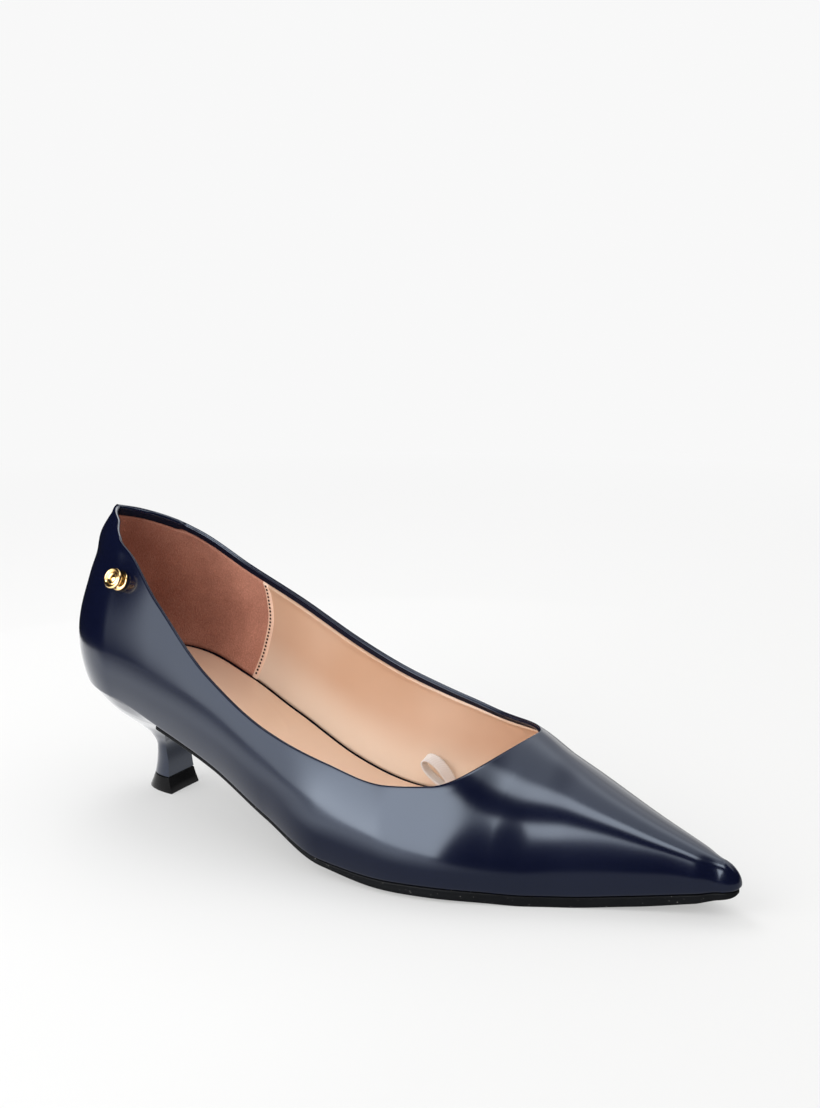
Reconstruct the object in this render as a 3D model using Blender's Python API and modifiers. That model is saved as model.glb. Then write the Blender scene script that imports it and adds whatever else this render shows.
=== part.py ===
"""Kitten heel pump for the right foot, standing on its heel tip and its forefoot.

Metres, +Z up, +X towards the toe, +Y towards the inner side of the foot.
The origin is on the floor under the middle of the heel tip.
The upper, insole, sole and heel all follow one last, which is a row of ribs: fanned round
the heel, square to the length along the foot, and fanned again round the toe.
"""
import math
from collections import namedtuple

import bmesh
import bpy
from mathutils import Vector

# Driving sizes of the last
LAST_LENGTH = 0.250
BALL_WIDTH = 0.0745
SEAT_HEIGHT = 0.0410      # rise of the lasted edge from the forefoot to the heel seat
TOE_SPRING = 0.0056
INSTEP_DEPTH = 0.071      # crown of the last above its lasted edge
BACK_HEIGHT = 0.1043      # topline above the floor at the back

# Driving sizes of the pieces
WALL = 0.0016
TURNED_EDGE = 0.0026      # width of the upper that is lasted under the foot
EDGE_ROUND = 0.0008
SOLE_THICKNESS = 0.0035
SOLE_INSET = 0.0005
SOLE_EDGE_ROUND = 0.0006
INSOLE_THICKNESS = 0.0020
INSOLE_BEVEL = 0.0006
INSOLE_TOE_RELIEF = 0.0016
TIP_THICKNESS = 0.0060
HEEL_SETBACK = 0.0300     # middle of the heel tip, from the start of the last
HEEL_WIDTH = 0.0560
HEEL_INSET = 0.0008
STUD_RADIUS = 0.0037
STUD_LENGTH = 0.0046
RIBBON_WIDTH = 0.0045
RIBBON_THICKNESS = 0.0008
RIBBON_LENGTH = 0.0160    # of the loop, across its opening
RIBBON_HEIGHT = 0.0085
RIBBON_LEAN = 46          # degrees that the loop rises towards the heel
GAP = 0.0003

# Places along the last, as shares of its length. The ribs turn through a quarter circle
# from BACK to HEEL_PIVOT, and through another from the toe's pivot to the tip at 1.
BACK = -0.050
HEEL_PIVOT = 0.115
TOE_RADIUS = 0.0058
TOE_PIVOT = 1 - TOE_RADIUS / LAST_LENGTH
THROAT = 0.722
BREAST = 0.195
STUD_PLACE = 0.128
STUD_HEIGHT = 0.81        # share of BACK_HEIGHT
RIBBON_PLACE = 0.552

# Half widths, bellies, shoulder, crown and ridge are shares of BALL_WIDTH. rise is a share
# of SEAT_HEIGHT, spring of TOE_SPRING, depth and drop of INSTEP_DEPTH, and sole of
# SOLE_THICKNESS. along is a share of LAST_LENGTH.
Section = namedtuple(
    "Section",
    "along outer inner rise spring belly_out belly_in shoulder crown depth drop ridge sole",
)
SECTIONS = (
    Section(BACK, .360, .360, 1.00, 0.0, .095, .095, .320, .235, .990, .354, .000, .40),
    Section(.0325, .372, .370, .993, 0.0, .113, .116, .302, .155, .930, .360, .000, .40),
    Section(HEEL_PIVOT, .390, .375, .930, 0.0, .123, .126, .317, .185, .955, .351, .000, .40),
    Section(.200, .412, .358, .770, 0.0, .131, .112, .345, .220, 1.00, .326, .000, .40),
    Section(.300, .445, .294, .560, 0.0, .139, .099, .364, .198, .980, .263, .000, .40),
    Section(.400, .500, .276, .285, 0.0, .132, .086, .361, .140, .945, .147, .000, .42),
    Section(.500, .560, .348, .068, 0.0, .105, .079, .346, .057, .895, .057, .000, .60),
    Section(.580, .560, .428, .026, 0.0, .078, .072, .316, .000, .800, .010, .010, .90),
    Section(.650, .522, .480, .026, 0.0, .059, .056, .274, .000, .695, .015, .010, 1.0),
    Section(.720, .432, .485, .014, 0.0, .046, .043, .222, .000, .587, .030, .065, 1.0),
    Section(.760, .368, .448, .000, 0.0, .042, .040, .203, .000, .519, .022, .050, 1.0),
    Section(.800, .300, .396, .000, 0.0, .038, .041, .200, .000, .453, .010, .030, 1.0),
    Section(.880, .182, .250, .000, .25, .031, .034, .151, .000, .307, .002, .010, 1.0),
    Section(.950, .096, .125, .000, .62, .021, .022, .093, .000, .181, .003, .005, .88),
    Section(TOE_PIVOT, .078, .086, .000, .84, .016, .016, .058, .000, .128, .004, .000, .70),
    Section(1.000, .078, .078, .000, 1.0, .016, .016, .044, .000, .097, .004, .000, .50),
)
LOWER_HANDLE = 0.40       # where the belly's handle stands, as a share of a rib's depth

# Height of the topline on each side, as shares of BACK_HEIGHT. From the throat's rows on,
# it runs up to the ridge of the vamp.
Topline = namedtuple("Topline", "along outer inner")
TOPLINE = (
    Topline(BACK, 1.008, 1.008),
    Topline(.0325, .974, .974),
    Topline(HEEL_PIVOT, .914, .914),
    Topline(.200, .756, .794),
    Topline(.300, .561, .696),
    Topline(.400, .433, .590),
    Topline(.500, .366, .497),
    Topline(.580, .326, .443),
    Topline(.640, .333, .416),
)

# Sections of the heel below its top. level is a share of the height of the heel's back edge
# and front_level of its breast's; back and breast are shares of the seat's length, width of
# HEEL_WIDTH.
HeelSection = namedtuple("HeelSection", "level front_level back breast width")
HEEL_SECTIONS = (
    HeelSection(.000, .000, .449, .755, .290),
    HeelSection(.140, .170, .509, .718, .264),
    HeelSection(.260, .330, .530, .712, .243),
    HeelSection(.380, .500, .543, .697, .250),
    HeelSection(.510, .640, .498, .745, .360),
    HeelSection(.600, .750, .390, .810, .500),
    HeelSection(.700, .840, .277, .876, .680),
    HeelSection(.790, .910, .185, .930, .830),
    HeelSection(.880, .960, .109, .968, .930),
)
HEEL_SQUARENESS = 2.25    # 2 makes the back of each section an ellipse

# Mesh density
RIB_STEPS = 12
HEEL_TURNS = 4
TOE_TURNS = 4
BREAST_STEPS = 4
TURNED_STEPS = 16
RIBBON_STEPS = 18
FOOT_STATIONS = (
    HEEL_PIVOT, .150, BREAST, .225, .265, .305, .350, .400, .450, .500, .540, .580, .610, .640,
    .665, .688, .708, THROAT, .740, .760, .800, .840, .880, .915, .950,
)

OUTER, INNER = -1, 1
JOIN = 1e-6
COLOURS = {
    "navy_leather": (0.030, 0.038, 0.085, 0.28, 0.0),
    "black_sole": (0.012, 0.012, 0.015, 0.45, 0.0),
    "tan_leather": (0.720, 0.500, 0.360, 0.50, 0.0),
    "gold": (0.800, 0.600, 0.300, 0.25, 1.0),
    "white_ribbon": (0.780, 0.740, 0.690, 0.80, 0.0),
}


class Smooth:
    """A curve through a table's rows that never overshoots them."""

    def __init__(self, xs, ys):
        self.xs = list(xs)
        self.ys = list(ys)
        steps = [b - a for a, b in zip(self.xs, self.xs[1:])]
        rises = [(b - a) / step for a, b, step in zip(self.ys, self.ys[1:], steps)]
        self.slopes = [rises[0]]
        for before, after, left, right in zip(rises, rises[1:], steps, steps[1:]):
            if before * after <= 0:
                self.slopes.append(0.0)
                continue
            near = 2 * right + left
            far = right + 2 * left
            self.slopes.append((near + far) / (near / before + far / after))
        self.slopes.append(rises[-1])

    def __call__(self, x):
        x = min(max(x, self.xs[0]), self.xs[-1])
        i = max(k for k in range(len(self.xs) - 1) if self.xs[k] <= x)
        step = self.xs[i + 1] - self.xs[i]
        t = (x - self.xs[i]) / step
        return (
            self.ys[i] * (1 + 2 * t) * (1 - t) ** 2
            + self.ys[i + 1] * t * t * (3 - 2 * t)
            + step * (self.slopes[i] * t * (1 - t) ** 2 - self.slopes[i + 1] * t * t * (1 - t))
        )


def columns(rows, key):
    """One smooth curve for each named column of a table."""
    xs = [getattr(row, key) for row in rows]
    return {name: Smooth(xs, [getattr(row, name) for row in rows]) for name in rows[0]._fields}


LAST = columns(SECTIONS, "along")
HEEL = columns(HEEL_SECTIONS, "level")


def edge_height(along):
    """Height of the lasted edge above the floor."""
    on_sole = SOLE_THICKNESS + GAP
    return on_sole + LAST["rise"](along) * SEAT_HEIGHT + LAST["spring"](along) * TOE_SPRING


def edge_radius(along, side):
    """Half width of the last at its lasted edge."""
    return LAST["outer" if side == OUTER else "inner"](along) * BALL_WIDTH


def place(along, side, radius, height):
    """A point in the plane of the rib at a station, at a distance from the last's axis."""
    turn = math.pi / 2
    x = along * LAST_LENGTH
    if along < HEEL_PIVOT:
        turn *= (along - BACK) / (HEEL_PIVOT - BACK)
        x = HEEL_PIVOT * LAST_LENGTH - math.cos(turn) * radius
    elif along > TOE_PIVOT:
        turn *= (1 - along) / (1 - TOE_PIVOT)
        x = TOE_PIVOT * LAST_LENGTH + math.cos(turn) * radius
    return Vector((x - HEEL_SETBACK, side * math.sin(turn) * radius, height))


def rib_handles(along, side):
    """Radius and height of the four handles of a rib, from the lasted edge to the crown."""
    belly = LAST["belly_out" if side == OUTER else "belly_in"](along) * BALL_WIDTH
    radius = edge_radius(along, side)
    floor = edge_height(along)
    depth = LAST["depth"](along) * INSTEP_DEPTH
    return (
        (radius, floor),
        (radius + belly, floor + LOWER_HANDLE * depth),
        (LAST["shoulder"](along) * BALL_WIDTH, floor + depth - LAST["drop"](along) * INSTEP_DEPTH),
        (LAST["crown"](along) * BALL_WIDTH, floor + depth),
    )


def bezier(values, t):
    a, b, c, d = values
    return a * (1 - t) ** 3 + 3 * b * t * (1 - t) ** 2 + 3 * c * t * t * (1 - t) + d * t ** 3


def topline_height(along, side):
    """Height of the collar's edge at a station behind the throat."""
    rows = [(row.along, (row.outer if side == OUTER else row.inner) * BACK_HEIGHT) for row in TOPLINE]
    rows.append((THROAT, rib_handles(THROAT, side)[3][1]))
    return Smooth([row[0] for row in rows], [row[1] for row in rows])(along)


def rib_share_at(along, side, height):
    """How far up a rib a height is reached, from 0 at the lasted edge to 1 at the crown."""
    heights = [handle[1] for handle in rib_handles(along, side)]
    low, high = 0.0, 1.0
    for _ in range(30):
        middle = (low + high) / 2
        if bezier(heights, middle) < height:
            low = middle
        else:
            high = middle
    return low


def on_rib(along, side, share):
    """A point on the outside of the last."""
    handles = rib_handles(along, side)
    point = place(
        along, side,
        bezier([handle[0] for handle in handles], share),
        bezier([handle[1] for handle in handles], share),
    )
    point.y += LAST["ridge"](along) * BALL_WIDTH * share ** 2
    return point


def rib_points(along, side):
    """One rib of the upper, from the inside of its turned-under edge to its top."""
    top = 1.0
    if along < THROAT:
        top = rib_share_at(along, side, topline_height(along, side))
    radius = edge_radius(along, side)
    floor = edge_height(along)
    points = [
        place(along, side, radius - TURNED_EDGE, floor),
        place(along, side, radius - EDGE_ROUND, floor),
    ]
    start = rib_share_at(along, side, floor + EDGE_ROUND)
    for step in range(RIB_STEPS + 1):
        points.append(on_rib(along, side, start + (top - start) * step / RIB_STEPS))
    return points


def heel_turns():
    """Stations round the heel, from the back to just behind the pivot."""
    return [BACK + (HEEL_PIVOT - BACK) * turn / HEEL_TURNS for turn in range(HEEL_TURNS)]


def toe_turns():
    """Stations round the toe, from its pivot to the tip."""
    return [TOE_PIVOT + (1 - TOE_PIVOT) * turn / TOE_TURNS for turn in range(TOE_TURNS + 1)]


def ring_stations(start):
    """Stations and sides once round the last, outer side first, from a start to the tip and back."""
    stations = [start] + [s for s in heel_turns() + list(FOOT_STATIONS) + toe_turns() if s > start]
    outward = [(station, OUTER) for station in stations]
    return outward + [(station, INNER) for station in reversed(stations)]


def loft(rows):
    """A mesh through rows of points, with the points that coincide joined."""
    bm = bmesh.new()
    grid = [[bm.verts.new(point) for point in row] for row in rows]
    for row, following in zip(grid, grid[1:]):
        for i in range(len(row) - 1):
            bm.faces.new((row[i], following[i], following[i + 1], row[i + 1]))
    bmesh.ops.remove_doubles(bm, verts=bm.verts, dist=JOIN)
    return bm


def close_ends(bm):
    """Fill the open loops that a loft leaves at its ends, and face it outwards."""
    bmesh.ops.holes_fill(bm, edges=[edge for edge in bm.edges if edge.is_boundary], sides=0)
    bmesh.ops.triangulate(bm, faces=[face for face in bm.faces if len(face.verts) > 4])
    bmesh.ops.recalc_face_normals(bm, faces=bm.faces)


def material(name):
    red, green, blue, roughness, metallic = COLOURS[name]
    made = bpy.data.materials.get(name)
    if made is None:
        made = bpy.data.materials.new(name)
        made.use_nodes = True
        shader = made.node_tree.nodes["Principled BSDF"]
        shader.inputs["Base Color"].default_value = (red, green, blue, 1.0)
        shader.inputs["Roughness"].default_value = roughness
        shader.inputs["Metallic"].default_value = metallic
    return made


def add_object(name, bm, finish, sharp_angle=40.0):
    """Turn a bmesh into a smooth-shaded object of the shoe's collection."""
    mesh = bpy.data.meshes.new(name)
    bm.to_mesh(mesh)
    bm.free()
    mesh.shade_smooth()
    mesh.set_sharp_from_angle(angle=math.radians(sharp_angle))
    mesh.materials.append(material(finish))
    made = bpy.data.objects.new(name, mesh)
    bpy.data.collections["kitten_heel_pump"].objects.link(made)
    return made


def make_upper():
    """The hollow shell: the outside of the last, thickened inwards."""
    bm = loft([rib_points(station, side) for station, side in ring_stations(BACK)])
    upper = add_object("upper", bm, "navy_leather")
    wall = upper.modifiers.new("wall", "SOLIDIFY")
    wall.thickness = WALL
    wall.offset = -1
    wall.use_even_offset = True
    wall.use_quality_normals = True


def make_outsole():
    """The sole, from the breast of the heel to the toe."""
    rows = []
    for along, side in ring_stations(BREAST + GAP / LAST_LENGTH):
        radius = edge_radius(along, side) - SOLE_INSET
        top = edge_height(along) - GAP
        bottom = top - LAST["sole"](along) * SOLE_THICKNESS
        corner = min(SOLE_EDGE_ROUND, (top - bottom) / 3)
        profile = (
            (0.0, top), (radius - corner, top), (radius, top - corner),
            (radius, bottom + corner), (radius - corner, bottom), (0.0, bottom),
        )
        rows.append([place(along, side, r, z) for r, z in profile])
    bm = loft(rows)
    close_ends(bm)
    add_object("outsole", bm, "black_sole")


def make_insole():
    """The sock and its board, which drops between the turned-under edges of the upper."""
    rows = []
    for along, side in ring_stations(BACK):
        radius = edge_radius(along, side)
        relief = INSOLE_TOE_RELIEF * LAST["spring"](along)
        rim = radius - WALL - GAP - relief
        board = radius - TURNED_EDGE - GAP - relief
        floor = edge_height(along)
        seat = floor + WALL + GAP
        top = seat + INSOLE_THICKNESS
        profile = (
            (0.0, top), (rim - INSOLE_BEVEL, top), (rim, top - INSOLE_BEVEL), (rim, seat),
            (board, seat), (board, floor), (0.0, floor),
        )
        rows.append([place(along, side, r, z) for r, z in profile])
    bm = loft(rows)
    close_ends(bm)
    add_object("insole", bm, "tan_leather")


def breast_line(corner_a, corner_b):
    """Points between the two corners of a heel section, across its flat breast."""
    return [corner_a.lerp(corner_b, step / BREAST_STEPS) for step in range(1, BREAST_STEPS)]


def seat_stations():
    """Stations of the heel's top, from the breast round to the back."""
    foot = [station for station in FOOT_STATIONS if station <= BREAST]
    return list(reversed(heel_turns() + foot))


def seat_ring():
    """The top of the heel, which follows the lasted edge of the upper."""
    outer, inner = [
        [
            place(s, side, edge_radius(s, side) - HEEL_INSET, edge_height(s) - GAP)
            for s in seat_stations()
        ]
        for side in (OUTER, INNER)
    ]
    arc = outer + list(reversed(inner[:-1]))
    return arc + breast_line(arc[-1], arc[0])


def heel_ring(level):
    """A section of the heel: a rounded back and a flat breast, at a share of its height."""
    seat_length = BREAST * LAST_LENGTH
    back = HEEL["back"](level) * seat_length - HEEL_SETBACK
    breast = HEEL["breast"](level) * seat_length - HEEL_SETBACK
    half_width = HEEL["width"](level) * HEEL_WIDTH / 2
    back_height = level * (edge_height(BACK) - GAP)
    breast_height = HEEL["front_level"](level) * (edge_height(BREAST) - GAP)
    corners = len(seat_stations()) - 1
    power = 2 / HEEL_SQUARENESS
    arc = []
    for step in range(2 * corners + 1):
        turn = math.pi / 2 * (1 - step / corners)
        forward = 1 - abs(math.cos(turn)) ** power
        aside = math.copysign(abs(math.sin(turn)) ** power, turn)
        arc.append(Vector((
            back + (breast - back) * forward,
            -half_width * aside,
            back_height + (breast_height - back_height) * forward,
        )))
    return arc + breast_line(arc[-1], arc[0])


def ring_solid(rings):
    """A closed solid through rings of points."""
    bm = loft([ring + ring[:1] for ring in rings])
    close_ends(bm)
    return bm


def make_heel():
    """The covered heel, from its joint with the tip up to the seat."""
    joint = (TIP_THICKNESS + GAP) / (edge_height(BACK) - GAP)
    levels = [joint] + [row.level for row in HEEL_SECTIONS if row.level > joint]
    rings = [heel_ring(level) for level in levels]
    for point in rings[0]:
        point.z = TIP_THICKNESS + GAP
    add_object("heel", ring_solid(rings + [seat_ring()]), "navy_leather", 50.0)


def make_heel_tip():
    """The black top piece that stands on the floor."""
    joint = TIP_THICKNESS / (edge_height(BACK) - GAP)
    rings = [heel_ring(joint * share) for share in (0.0, 0.5, 1.0)]
    for point in rings[-1]:
        point.z = TIP_THICKNESS
    add_object("heel_tip", ring_solid(rings), "black_sole", 50.0)


def make_stud():
    """A turned stud of two discs on the outer side of the back quarter."""
    share = rib_share_at(STUD_PLACE, OUTER, STUD_HEIGHT * BACK_HEIGHT)
    foot = on_rib(STUD_PLACE, OUTER, share)
    step = 0.01
    along_wall = on_rib(STUD_PLACE + step, OUTER, share) - foot
    up_wall = on_rib(STUD_PLACE, OUTER, share + step) - foot
    outward = along_wall.cross(up_wall).normalized()
    profile = (
        (0.00, 0.00), (0.90, 0.00), (0.98, 0.06), (0.98, 0.14), (0.90, 0.20), (0.42, 0.26),
        (0.36, 0.46), (0.42, 0.64), (0.92, 0.68), (1.00, 0.74), (1.00, 0.92), (0.90, 1.00),
        (0.00, 1.00),
    )
    rows = []
    for turn in range(TURNED_STEPS + 1):
        angle = 2 * math.pi * (turn % TURNED_STEPS) / TURNED_STEPS
        rows.append([
            Vector((
                math.cos(angle) * radius * STUD_RADIUS,
                math.sin(angle) * radius * STUD_RADIUS,
                length * STUD_LENGTH,
            ))
            for radius, length in profile
        ])
    bm = loft(rows)
    close_ends(bm)
    stud = add_object("stud", bm, "gold")
    stud.rotation_euler = outward.to_track_quat("Z", "Y").to_euler()
    stud.location = foot + outward * GAP


def beside_wall(along):
    """A point on the insole, half a ribbon's width from the inner wall."""
    inset = WALL + GAP + INSOLE_BEVEL + RIBBON_WIDTH / 2
    top = edge_height(along) + WALL + GAP + INSOLE_THICKNESS
    return place(along, INNER, edge_radius(along, INNER) - inset, top)


def make_ribbon_loop():
    """A woven strip folded into a loop, rising from the insole along the inner wall."""
    root = beside_wall(RIBBON_PLACE)
    backward = beside_wall(RIBBON_PLACE - RIBBON_LENGTH / LAST_LENGTH) - root
    backward.z = 0
    backward.normalize()
    lean = math.radians(RIBBON_LEAN)
    reach_way = backward * math.cos(lean) + Vector((0, 0, math.sin(lean)))
    lift_way = Vector((0, 0, math.cos(lean))) - backward * math.sin(lean)
    width_way = reach_way.cross(lift_way)
    centre = root + Vector((0, 0, GAP + RIBBON_THICKNESS)) + reach_way * RIBBON_LENGTH / 2
    corners = ((0, -0.5), (1, -0.5), (1, 0.5), (0, 0.5), (0, -0.5))
    rows = []
    for step in range(RIBBON_STEPS + 1):
        turn = 2 * math.pi * (step % RIBBON_STEPS) / RIBBON_STEPS
        row = []
        for inset, across in corners:
            reach = math.cos(turn) * (RIBBON_LENGTH / 2 - inset * RIBBON_THICKNESS)
            lift = math.sin(turn) * (RIBBON_HEIGHT / 2 - inset * RIBBON_THICKNESS)
            aside = width_way * across * RIBBON_WIDTH
            row.append(centre + reach_way * reach + lift_way * lift + aside)
        rows.append(row)
    bm = loft(rows)
    bmesh.ops.recalc_face_normals(bm, faces=bm.faces)
    add_object("ribbon_loop", bm, "white_ribbon")


def main():
    for old in list(bpy.data.objects):
        bpy.data.objects.remove(old, do_unlink=True)
    shoe = bpy.data.collections.new("kitten_heel_pump")
    bpy.context.scene.collection.children.link(shoe)
    make_upper()
    make_outsole()
    make_insole()
    make_heel()
    make_heel_tip()
    make_stud()
    make_ribbon_loop()


main()
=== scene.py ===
"""Looks of a navy kitten heel pump for the right foot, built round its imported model.

Metres, in the model's frame: +X towards the toe, +Y towards the inner side of the foot,
and the floor at z = 0. Lengths named in millimetres are multiplied by MM where they are used.
"""
from collections import namedtuple
from math import atan2, ceil, copysign, cos, pi, radians, sin

import bmesh
import bpy
import numpy as np
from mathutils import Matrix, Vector, noise


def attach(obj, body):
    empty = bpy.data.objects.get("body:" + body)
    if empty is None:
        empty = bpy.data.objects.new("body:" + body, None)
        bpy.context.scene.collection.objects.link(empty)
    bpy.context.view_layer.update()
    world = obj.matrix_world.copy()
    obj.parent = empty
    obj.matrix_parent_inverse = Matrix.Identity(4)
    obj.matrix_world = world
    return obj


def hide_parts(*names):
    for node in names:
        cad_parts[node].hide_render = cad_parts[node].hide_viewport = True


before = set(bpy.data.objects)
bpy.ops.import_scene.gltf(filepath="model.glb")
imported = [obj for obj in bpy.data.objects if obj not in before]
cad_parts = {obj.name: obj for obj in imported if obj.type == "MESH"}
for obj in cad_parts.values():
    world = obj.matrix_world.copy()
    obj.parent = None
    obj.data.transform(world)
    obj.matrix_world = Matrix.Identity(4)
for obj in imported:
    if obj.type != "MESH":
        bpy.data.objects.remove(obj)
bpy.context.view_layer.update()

MM = 0.001
OUTER, INNER = -1, 1


def table(columns, *rows):
    """Rows with named columns."""
    kind = namedtuple("Row", columns)
    return [kind(*row) for row in rows]


# The last and the pieces on it, as in the model's source
LAST_LENGTH = 0.250
BALL_WIDTH = 0.0745
SEAT_HEIGHT = 0.0410
TOE_SPRING = 0.0056
INSTEP_DEPTH = 0.071
BACK_HEIGHT = 0.1043
WALL = 0.0016
TURNED_EDGE = 0.0026
EDGE_ROUND = 0.0008
SOLE_THICKNESS = 0.0035
SOLE_INSET = 0.0005
INSOLE_THICKNESS = 0.0020
INSOLE_TOE_RELIEF = 0.0016
TIP_THICKNESS = 0.0060
HEEL_SETBACK = 0.0300
HEEL_WIDTH = 0.0560
HEEL_INSET = 0.0008
STUD_RADIUS = 0.0037
STUD_LENGTH = 0.0046
RIBBON_WIDTH = 0.0045
RIBBON_THICKNESS = 0.0008
RIBBON_LENGTH = 0.0160
RIBBON_HEIGHT = 0.0085
RIBBON_LEAN = 46
GAP = 0.0003
BACK = -0.050
HEEL_PIVOT = 0.115
TOE_RADIUS = 0.0058
TOE_PIVOT = 1 - TOE_RADIUS / LAST_LENGTH
THROAT = 0.722
BREAST = 0.195
STUD_PLACE = 0.128
STUD_HEIGHT = 0.81
RIBBON_PLACE = 0.552
HEEL_SQUARENESS = 2.25
LOWER_HANDLE = 0.40

SECTIONS = table(
    "along outer inner rise spring belly_out belly_in shoulder crown depth drop ridge sole",
    (BACK, .360, .360, 1.00, 0.0, .095, .095, .320, .235, .990, .354, .000, .40),
    (.0325, .372, .370, .993, 0.0, .113, .116, .302, .155, .930, .360, .000, .40),
    (HEEL_PIVOT, .390, .375, .930, 0.0, .123, .126, .317, .185, .955, .351, .000, .40),
    (.200, .412, .358, .770, 0.0, .131, .112, .345, .220, 1.00, .326, .000, .40),
    (.300, .445, .294, .560, 0.0, .139, .099, .364, .198, .980, .263, .000, .40),
    (.400, .500, .276, .285, 0.0, .132, .086, .361, .140, .945, .147, .000, .42),
    (.500, .560, .348, .068, 0.0, .105, .079, .346, .057, .895, .057, .000, .60),
    (.580, .560, .428, .026, 0.0, .078, .072, .316, .000, .800, .010, .010, .90),
    (.650, .522, .480, .026, 0.0, .059, .056, .274, .000, .695, .015, .010, 1.0),
    (.720, .432, .485, .014, 0.0, .046, .043, .222, .000, .587, .030, .065, 1.0),
    (.760, .368, .448, .000, 0.0, .042, .040, .203, .000, .519, .022, .050, 1.0),
    (.800, .300, .396, .000, 0.0, .038, .041, .200, .000, .453, .010, .030, 1.0),
    (.880, .182, .250, .000, .25, .031, .034, .151, .000, .307, .002, .010, 1.0),
    (.950, .096, .125, .000, .62, .021, .022, .093, .000, .181, .003, .005, .88),
    (TOE_PIVOT, .078, .086, .000, .84, .016, .016, .058, .000, .128, .004, .000, .70),
    (1.000, .078, .078, .000, 1.0, .016, .016, .044, .000, .097, .004, .000, .50),
)

TOPLINE = table(
    "along outer inner",
    (BACK, 1.008, 1.008), (.0325, .974, .974), (HEEL_PIVOT, .914, .914), (.200, .756, .794),
    (.300, .561, .696), (.400, .433, .590), (.500, .366, .497), (.580, .326, .443), (.640, .333, .416),
)

HEEL_SECTIONS = table(
    "level front_level back breast width",
    (.000, .000, .449, .755, .290), (.140, .170, .509, .718, .264), (.260, .330, .530, .712, .243),
    (.380, .500, .543, .697, .250), (.510, .640, .498, .745, .360), (.600, .750, .390, .810, .500),
    (.700, .840, .277, .876, .680), (.790, .910, .185, .930, .830), (.880, .960, .109, .968, .930),
)

# The leather and the sole draw in a little more at the tip than the solids do
TOE_PINCH = 0.22
PINCH_START = 0.950
PINCH_END = 0.985

# Layers of the upper's wall, in millimetres inwards from the outside of the last
LEATHER = 0.80
LINING_BACK = 0.86
LINING_UNDER_FACING = 1.02
FACING_BACK = 1.12
LINING_FACE = 1.60
LINING_RIM = 2.05
FACING_DEPTH = 2.2        # of the navy strip inside the topline
FACING_DEPTH_BACK = 2.8   # of the same strip round the back
SOFT_BACK = 0.100         # the collar is a soft roll from the back to here
SOFT_FADE = 0.014

# The folded edge of the leather and the bead of the strip behind it, in millimetres
BEADS = table(
    "inward above",
    (.00, .00), (.03, .18), (.13, .36), (.32, .49), (.54, .46), (.72, .30), (.84, .06), (.95, .28),
    (1.12, .46), (1.36, .47), (1.57, .30), (1.68, .00),
)
SOFT_ROLL = 2.1           # thickness of the soft roll round the back, in millimetres
ROLL_RISE = 0.42          # its height, as a share of its thickness
FACING_SHARES = (.15, .35, .55, .75, .92)
FACING_EDGE = ((.16, 1.0), (.38, .97))
FACING_BACK_SHARES = (.75, .45, .15)

# Soft ridges (above 0) and troughs in the leather. Around is the way from the back along the
# last, negative on the outer side; level, spread and height are in millimetres.
CREASES = table(
    "around reach level spread height",
    (-.055, .080, 96.0, 6.0, 1.75), (.060, .075, 96.0, 6.0, 0.60), (-.130, .050, 89.5, 2.4, -0.80),
    (-.060, .050, 85.0, 5.0, 0.45), (.135, .045, 90.5, 3.0, -0.40), (-.520, .060, 24.0, 5.5, -0.22),
    (-.690, .035, 27.0, 7.0, -0.25), (-.765, .035, 24.0, 7.0, 0.18), (.700, .050, 26.0, 7.0, -0.22),
)

CREASE_CLEAR = 3.5        # the creases fade out this far below the topline, in millimetres

# Seam between the heel grip and the lining, against a share of the wall
GRIP_SEAM = table(
    "share along",
    (0.00, .200), (0.30, .219), (0.60, .231), (1.00, .226),
)
SEAM_STRIP_WIDTH = 2.4    # millimetres
HOLE_SPACING = 1.45
HOLE_RADIUS = 0.48
GRIP_PUFF = 0.35          # of the rim of the heel grip, against the lining's


class Smooth:
    """A curve through a table's rows that never overshoots them."""

    def __init__(self, xs, ys):
        self.xs = np.array(xs, float)
        self.ys = np.array(ys, float)
        steps = np.diff(self.xs)
        rises = np.diff(self.ys) / steps
        slopes = [rises[0]]
        for before, after, left, right in zip(rises, rises[1:], steps, steps[1:]):
            near = 2 * right + left
            far = right + 2 * left
            turns = before * after <= 0
            slopes.append(0.0 if turns else (near + far) / (near / before + far / after))
        self.slopes = np.array(slopes + [rises[-1]])

    def __call__(self, x):
        x = np.clip(x, self.xs[0], self.xs[-1])
        i = np.clip(np.searchsorted(self.xs, x, side="right") - 1, 0, len(self.xs) - 2)
        step = self.xs[i + 1] - self.xs[i]
        t = (x - self.xs[i]) / step
        return (
            self.ys[i] * (1 + 2 * t) * (1 - t) ** 2
            + self.ys[i + 1] * t * t * (3 - 2 * t)
            + step * (self.slopes[i] * t * (1 - t) ** 2 - self.slopes[i + 1] * t * t * (1 - t))
        )


def columns(rows, key):
    """One smooth curve for each named column of a table."""
    xs = [getattr(row, key) for row in rows]
    return {name: Smooth(xs, [getattr(row, name) for row in rows]) for name in rows[0]._fields}


LAST = columns(SECTIONS, "along")
HEEL = columns(HEEL_SECTIONS, "level")
SEAM = columns(GRIP_SEAM, "share")


def smoothstep(low, high, value):
    t = np.clip((value - low) / (high - low), 0, 1)
    return t * t * (3 - 2 * t)


def unit(vectors):
    return vectors / np.linalg.norm(vectors, axis=-1, keepdims=True)


def lengths_along(points):
    """Length from the first point in each row of points."""
    steps = np.linalg.norm(np.diff(points, axis=-2), axis=-1)
    return np.concatenate([0 * steps[..., :1], np.cumsum(steps, axis=-1)], axis=-1)


def edge_height(along):
    """Height of the lasted edge above the floor."""
    on_sole = SOLE_THICKNESS + GAP
    return on_sole + LAST["rise"](along) * SEAT_HEIGHT + LAST["spring"](along) * TOE_SPRING


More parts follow.
